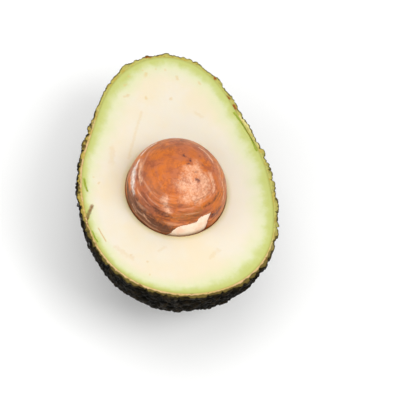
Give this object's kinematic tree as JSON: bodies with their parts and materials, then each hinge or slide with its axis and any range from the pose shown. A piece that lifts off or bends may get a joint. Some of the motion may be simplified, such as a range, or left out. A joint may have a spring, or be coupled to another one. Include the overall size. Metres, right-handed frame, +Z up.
{
  "type": "avocado half",
  "caption": "Pear-shaped half of a dark, pebbly-skinned avocado, cut lengthwise, with its round seed in the flesh; lies on its skin with the cut face up.",
  "frame": {"origin": "on the surface that the half lies on, under the middle of the skin's outline", "axes": "+Y along the fruit's length towards the stem end, +Z up out of the cut face, +X across the fruit"},
  "size_m": [0.0676, 0.0964, 0.0522],
  "materials": {
    "skin": "satin, pebbled, nearly black outside, with a tan-olive cut edge",
    "flesh": "moist satin, cream in the middle, yellow-green towards the skin",
    "seed_coat": "smooth satin, orange-brown, papery and finely streaked",
    "seed_kernel": "matte, pale pinkish cream"
  },
  "bodies": {
    "root": {"skin": "skin", "flesh": "flesh", "seed_coat": "seed_coat", "seed_kernel": "seed_kernel"}
  },
  "joints": []
}
